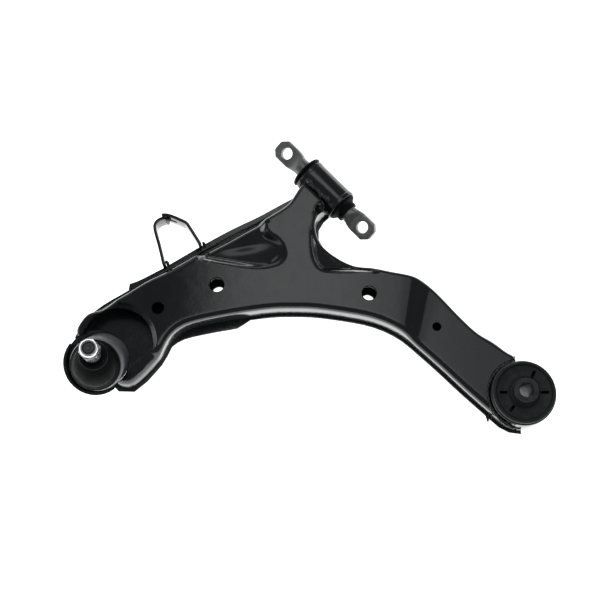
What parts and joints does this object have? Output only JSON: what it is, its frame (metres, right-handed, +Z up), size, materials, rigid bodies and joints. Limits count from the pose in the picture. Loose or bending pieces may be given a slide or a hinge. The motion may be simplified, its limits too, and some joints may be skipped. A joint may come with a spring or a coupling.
{
  "type": "suspension control arm",
  "caption": "Pressed-steel lower suspension control arm with ball joint, cross-bar front bush, upright rear bush and an edge bracket.",
  "frame": {"origin": "centre of the base of the bounding box; the arm lies on its lower side", "axes": "+X from the ball joint towards the rear bush, +Y towards the front bush, +Z up out of the top face, the way the ball stud points"},
  "size_m": [0.503, 0.3146, 0.1013],
  "materials": {
    "black_paint": "gloss black paint with faint orange peel",
    "bare_steel": "satin, lightly rolled",
    "zinc": "bright zinc plating",
    "rubber": "matte black",
    "plastic": "moulded bearing plastic",
    "clip_steel": "dark spring steel"
  },
  "bodies": {
    "arm": {"upper_shell": "black_paint", "lower_shell": "black_paint", "front_bush_tube": "black_paint", "front_bush_outer_sleeve": "bare_steel", "front_bush_rubber": "rubber", "rear_bush_ring": "black_paint", "rear_bush_outer_sleeve": "bare_steel", "rear_bush_rubber": "rubber", "ball_joint_housing": "black_paint", "ball_joint_seat": "plastic", "ball_joint_end_cap": "bare_steel", "dust_boot": "rubber", "boot_lower_ring": "clip_steel", "bracket_left_strip": "black_paint", "bracket_right_strip": "black_paint", "weld_neck_bead": "black_paint", "weld_rear_ring_bead": "black_paint", "weld_bracket_left_bead": "black_paint", "weld_bracket_right_bead": "black_paint", "weld_bracket_lap_bead": "black_paint", "weld_seam_south": "black_paint", "weld_seam_north": "black_paint", "weld_seam_west": "black_paint"},
    "front_bar": {"front_bush_bar": "bare_steel"},
    "rear_sleeve": {"rear_bush_inner_sleeve": "bare_steel"},
    "stud_swivel": {"boot_upper_ring": "clip_steel"},
    "stud": {"ball_stud": "bare_steel", "lock_nut": "zinc", "lock_nut_insert": "plastic"}
  },
  "joints": [
    {"name": "front_bar_turn", "type": "hinge", "parent": "arm", "child": "front_bar", "pos_m": [0.0192, 0.10178, 0.0275], "axis": [0.6934, -0.7206, 0], "range_deg": [-22, 22], "stiffness_Nm_per_rad": 30, "deforming": ["front_bush_rubber"]},
    {"name": "rear_sleeve_tilt", "type": "hinge", "parent": "arm", "child": "rear_sleeve", "pos_m": [0.2183, -0.11972, 0.0295], "axis": [0.6934, -0.7206, 0], "range_deg": [-10, 10], "stiffness_Nm_per_rad": 60, "deforming": ["rear_bush_rubber"]},
    {"name": "ball_tilt", "type": "hinge", "parent": "arm", "child": "stud_swivel", "pos_m": [-0.2138, -0.08782, 0.0355], "axis": [0.6934, -0.7206, 0], "range_deg": [-6, 38], "deforming": ["dust_boot"]},
    {"name": "stud_spin", "type": "hinge", "parent": "stud_swivel", "child": "stud", "pos_m": [-0.2138, -0.08782, 0.0355], "axis": [0.02, 0.03, 0.9994], "continuous": true}
  ]
}
